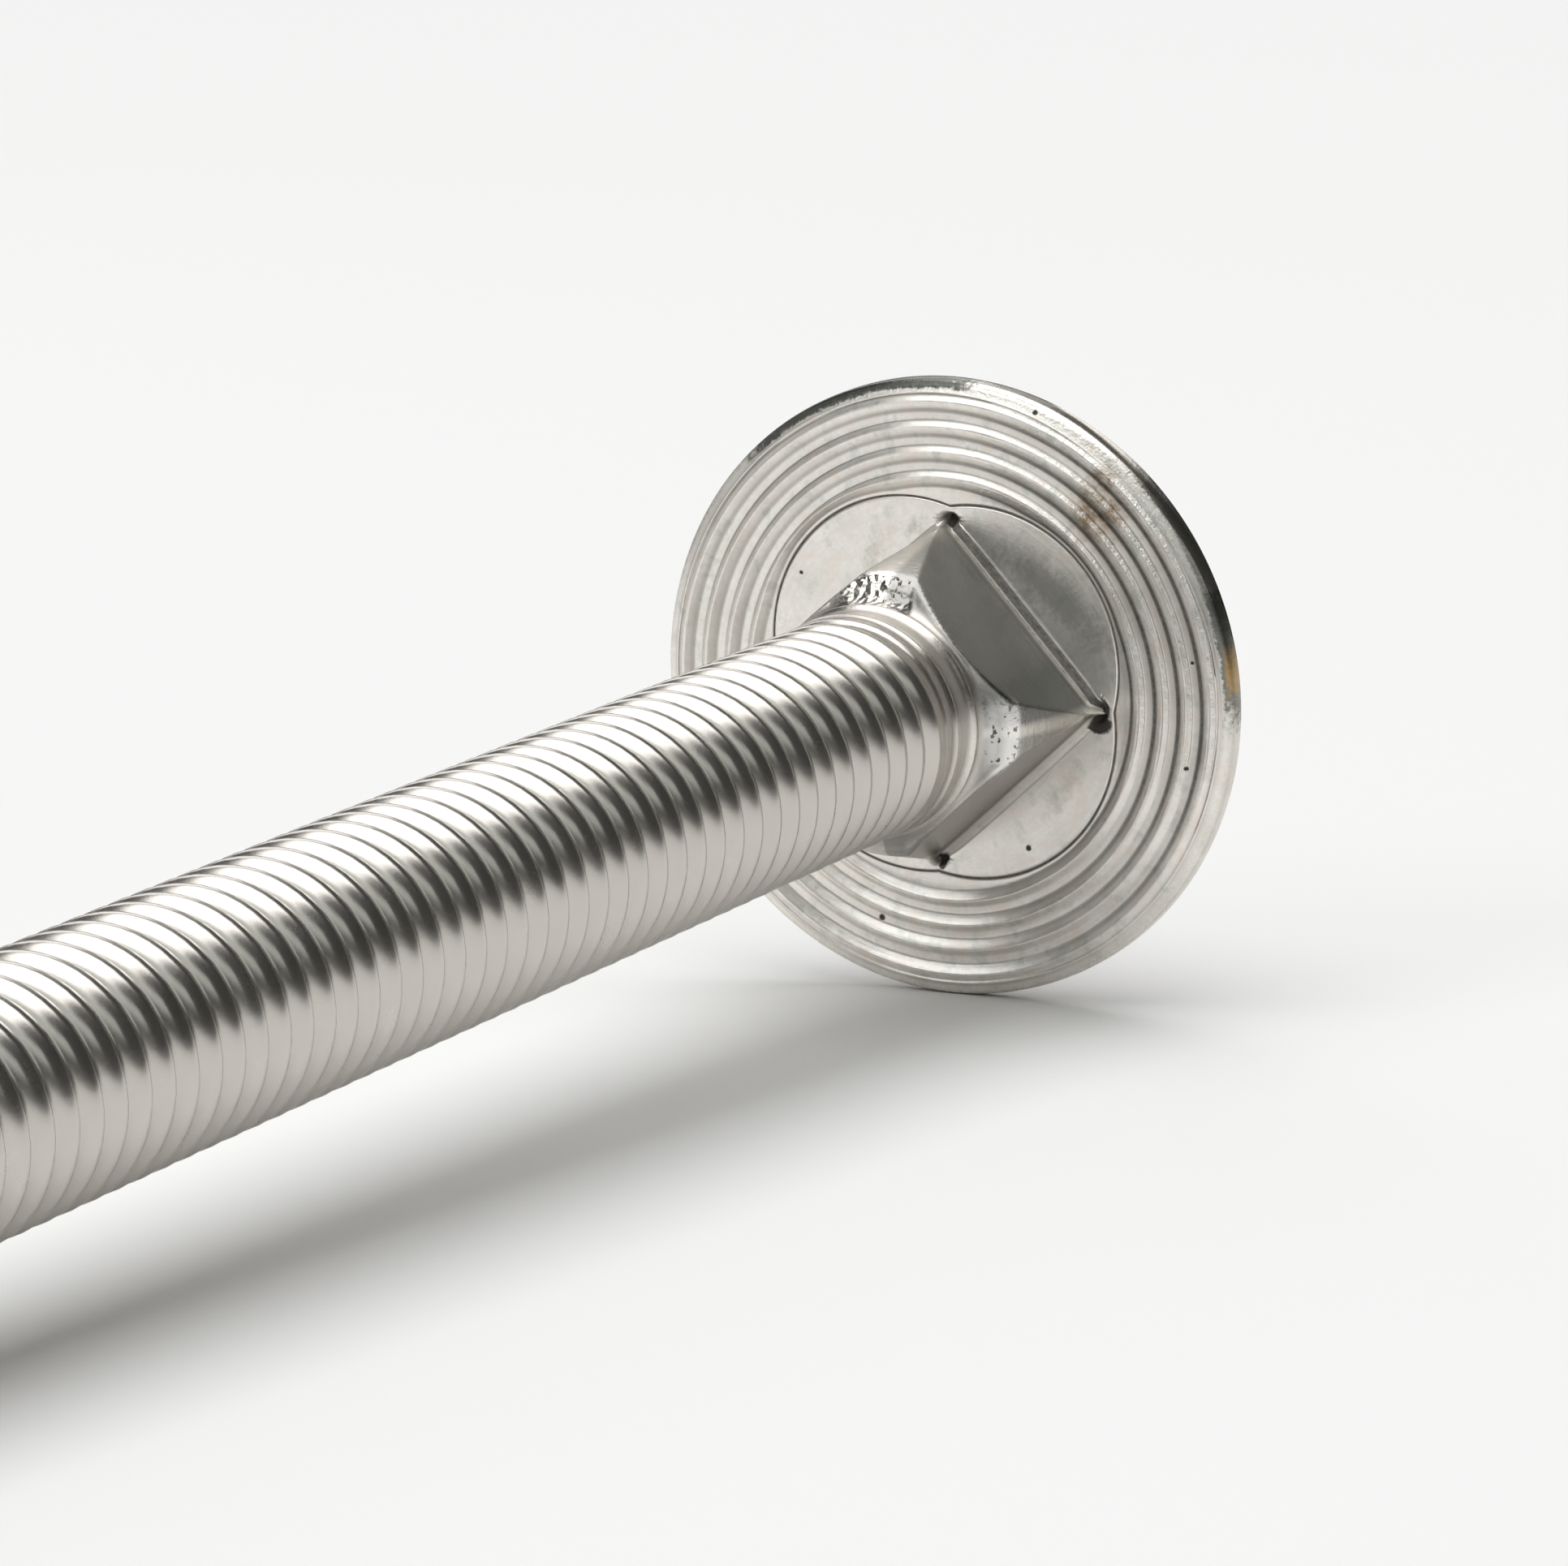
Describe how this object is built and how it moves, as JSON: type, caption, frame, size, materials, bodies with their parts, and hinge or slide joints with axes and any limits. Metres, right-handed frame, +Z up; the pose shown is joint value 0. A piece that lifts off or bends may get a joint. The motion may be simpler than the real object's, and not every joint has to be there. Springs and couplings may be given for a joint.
{
  "type": "carriage bolt",
  "caption": "Long carriage bolt with a low domed head, grip ridges under the head, a square neck that keeps it from turning, and a metric thread up to the neck.",
  "frame": {"origin": "on the floor that the bolt lies on, under the middle of its bounding box", "axes": "+Z is up. The bolt's axis is in the XZ plane: the head is at +X and the tip at -X, and the axis leans down to the tip by 3.04 degrees, because the bolt rests on the rim of its head and on the end of its thread. +Y is to the left as seen from the tip."},
  "size_m": [0.1034, 0.0164, 0.0165],
  "materials": {
    "stainless_steel": "plain cold-formed stainless steel, bright on the rolled thread and duller on the head"
  },
  "bodies": {
    "root": {"carriage_bolt": "stainless_steel"}
  },
  "joints": []
}
